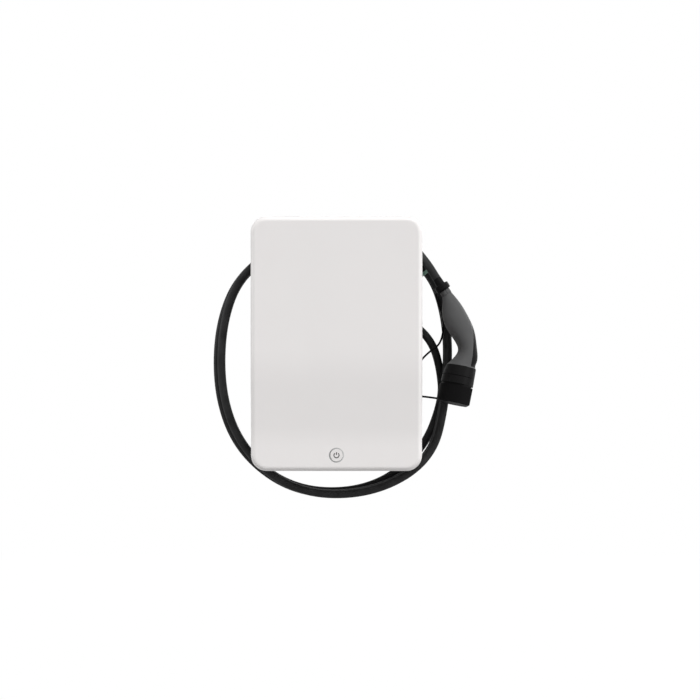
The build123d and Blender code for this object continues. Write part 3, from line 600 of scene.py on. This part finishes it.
MOULDED = {
    "housing_plastic": dict(colour=(0.42, 0.42, 0.415), roughness=0.6,
                            grain_size=0.0008, grain_height=0.00004),
    "seal_rubber": dict(colour=(0.02, 0.02, 0.021), roughness=0.7,
                        grain_size=0.0007, grain_height=0.00004, swing=0.1),
    "button_plastic": dict(colour=(0.80, 0.778, 0.77), roughness=0.4,
                           grain_size=0.0005, grain_height=0.000006, swing=0.008),
    "component_black": dict(colour=(0.025, 0.025, 0.027), roughness=0.5,
                            grain_size=0.0006, grain_height=0.00002, swing=0.1),
    "terminal_plastic": dict(colour=(0.3, 0.32, 0.33), roughness=0.5,
                             grain_size=0.0006, grain_height=0.00002),
    "gland_plastic": dict(colour=(0.02, 0.02, 0.021), roughness=0.5,
                          grain_size=0.0007, grain_height=0.00002, swing=0.1, specular=0.25),
    "tie_green": dict(colour=(0.25, 0.42, 0.34), roughness=0.5,
                      grain_size=0.0004, grain_height=0.00003, swing=0.08),
    "connector_grey": dict(colour=(0.090, 0.090, 0.091), roughness=0.5,
                           grain_size=0.0009, grain_height=0.00005, swing=0.06, specular=0.05),
    "connector_black": dict(colour=(0.004, 0.0038, 0.004), roughness=0.5,
                            grain_size=0.0009, grain_height=0.00005, swing=0.1, specular=0.07),
    "cap_rubber": dict(colour=(0.003, 0.0028, 0.003), roughness=0.6,
                       grain_size=0.0008, grain_height=0.00005, swing=0.12, specular=0.05),
    "symbol_print": dict(colour=(0.045, 0.045, 0.047), roughness=0.5,
                         grain_size=0.0004, grain_height=0.000004, swing=0.06, specular=0.25),
}
materials = {name: moulded(name, **look) for name, look in MOULDED.items()}
materials["cover_plastic"] = cover_shell("cover_plastic")
materials["galvanised_steel"] = galvanised("galvanised_steel")
materials["screw_steel"] = turned("screw_steel", colour=(0.55, 0.55, 0.54), roughness=0.35)
materials["contact_metal"] = turned("contact_metal", colour=(0.78, 0.77, 0.75), roughness=0.22)
materials["light_guide"] = light_guide("light_guide")
materials["board_green"] = circuit_board("board_green")
materials["cable_rubber"] = cable_jacket("cable_rubber")

slot_of = {part["node"]: part["material_slot"] for part in frame["record"]["subparts"]}
for name, node in nodes.items():
    node.data.materials.clear()
    node.data.materials.append(materials[slot_of[name]])
    polish(node, sharp_degrees=30)

for piece, slot in (
    (charging_cable, "cable_rubber"), (cap_tether, "cap_rubber"), (gland_sleeve, "gland_plastic"),
    (connector_sleeve, "connector_black"), (collar_rim, "connector_black"),
    (strap, "tie_green"), (strap_lock, "tie_green"),
):
    piece.data.materials.append(materials[slot])
symbol.data.materials.append(materials["symbol_print"])

# What moves with what, and what stands for which solids

on_cable = [gland_sleeve, connector_sleeve, collar_rim, strap, strap_lock]
for piece in [charging_cable] + on_cable:
    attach(piece, "station")
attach(symbol, "button")
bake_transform(cap_tether)
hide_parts("cable_coil", "cable_gland_lead", "cable_connector_lead")
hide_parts("cable_tie")
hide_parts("cap_tether")


# Floor, light and background

SKY_STRENGTH = 0.12
FLOOR_Z = -2.2
FLOOR_HALF_SIZE = 12.0
FLOOR_COLOUR = (0.38, 0.38, 0.38)
FLOOR_GLOW = 1.09
# The camera sees this share of the glow, and the rest as the lit floor
FLOOR_WHITE_SHARE = 0.86
SUNS = {
    "overhead": dict(strength=2.46, width=25, azimuth=25, elevation=58),
    "right_side": dict(strength=1.35, width=30, azimuth=58, elevation=12),
    "left_side": dict(strength=1.4, width=30, azimuth=-84, elevation=12),
    "from_behind": dict(strength=0.9, width=34, azimuth=132, elevation=22),
}


def shows_white(tree, plain, white_share):
    """A mix that shows white, which the caller links in, to rays from the camera, gloss and glass."""
    path = tree.nodes.new("ShaderNodeLightPath")
    either = path.outputs["Is Camera Ray"]
    for name in ("Is Glossy Ray", "Is Transmission Ray"):
        most = tree.nodes.new("ShaderNodeMath")
        most.operation = "MAXIMUM"
        tree.links.new(either, most.inputs[0])
        tree.links.new(path.outputs[name], most.inputs[1])
        either = most.outputs["Value"]
    share = tree.nodes.new("ShaderNodeMath")
    share.operation = "MULTIPLY"
    share.inputs[1].default_value = white_share
    tree.links.new(either, share.inputs[0])
    mix = tree.nodes.new("ShaderNodeMixShader")
    tree.links.new(share.outputs["Value"], mix.inputs["Fac"])
    tree.links.new(plain, mix.inputs[1])
    return mix


def studio_world():
    world = bpy.data.worlds.new("studio")
    world.use_nodes = True
    scene.world = world
    tree = world.node_tree
    sky = tree.nodes["Background"]
    sky.inputs["Color"].default_value = (1, 1, 1, 1)
    sky.inputs["Strength"].default_value = SKY_STRENGTH
    white = tree.nodes.new("ShaderNodeBackground")
    white.inputs["Color"].default_value = (1, 1, 1, 1)
    white.inputs["Strength"].default_value = 1.0
    mix = shows_white(tree, sky.outputs["Background"], white_share=1.0)
    tree.links.new(white.outputs["Background"], mix.inputs[2])
    tree.links.new(mix.outputs["Shader"], tree.nodes["World Output"].inputs["Surface"])


def pale_floor():
    bm = bmesh.new()
    bmesh.ops.create_grid(bm, x_segments=1, y_segments=1, size=FLOOR_HALF_SIZE)
    mesh = bpy.data.meshes.new("floor")
    bm.to_mesh(mesh)
    bm.free()
    floor = bpy.data.objects.new("floor", mesh)
    floor.location = (0, 0, FLOOR_Z)
    scene.collection.objects.link(floor)
    material, tree, shader, coords = new_material("pale_floor")
    clouds = noise(tree, coords, size=0.6, detail=3.0)
    tree.links.new(tint(tree, clouds, FLOOR_COLOUR, swing=0.01), shader.inputs["Base Color"])
    shader.inputs["Roughness"].default_value = 0.9
    glow = tree.nodes.new("ShaderNodeEmission")
    glow.inputs["Strength"].default_value = FLOOR_GLOW
    mix = shows_white(tree, shader.outputs["BSDF"], FLOOR_WHITE_SHARE)
    tree.links.new(glow.outputs["Emission"], mix.inputs[2])
    tree.links.new(mix.outputs["Shader"], tree.nodes["Material Output"].inputs["Surface"])
    mesh.materials.append(material)


def sun(name, strength, width, azimuth, elevation):
    """A soft light from far away, in degrees. Azimuth 0 is from the front and 90 from the right."""
    data = bpy.data.lights.new(name, "SUN")
    data.energy = strength
    data.angle = math.radians(width)
    lamp = bpy.data.objects.new(name, data)
    around, up = math.radians(azimuth), math.radians(elevation)
    toward = Vector((math.sin(around) * math.cos(up), -math.cos(around) * math.cos(up), math.sin(up)))
    lamp.rotation_euler = toward.to_track_quat("Z", "Y").to_euler()
    scene.collection.objects.link(lamp)


studio_world()
pale_floor()
for name, light in SUNS.items():
    sun(name, **light)
